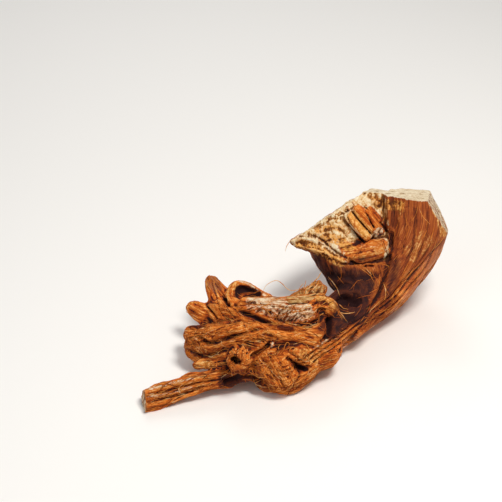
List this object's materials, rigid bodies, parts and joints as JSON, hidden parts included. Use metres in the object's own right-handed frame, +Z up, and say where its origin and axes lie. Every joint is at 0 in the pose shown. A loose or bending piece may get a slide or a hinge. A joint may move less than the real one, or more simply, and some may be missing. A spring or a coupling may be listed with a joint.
{
  "type": "marshmallow root",
  "caption": "Dried, gnarled root: a sawn and broken stump bent over into a crown of torn stem bases, with a split side root; it lies on a surface.",
  "frame": {"origin": "on the surface that the root lies on, under the middle of its box", "axes": "+X from the side root towards the sawn stump, along the longest extent; +Y from the crown's front to the stump; +Z up"},
  "size_m": [0.1267, 0.094, 0.0534],
  "materials": {
    "bark": "dry, fibrous, matt"
  },
  "bodies": {
    "root": {"marshmallow_root": "bark"}
  },
  "joints": []
}
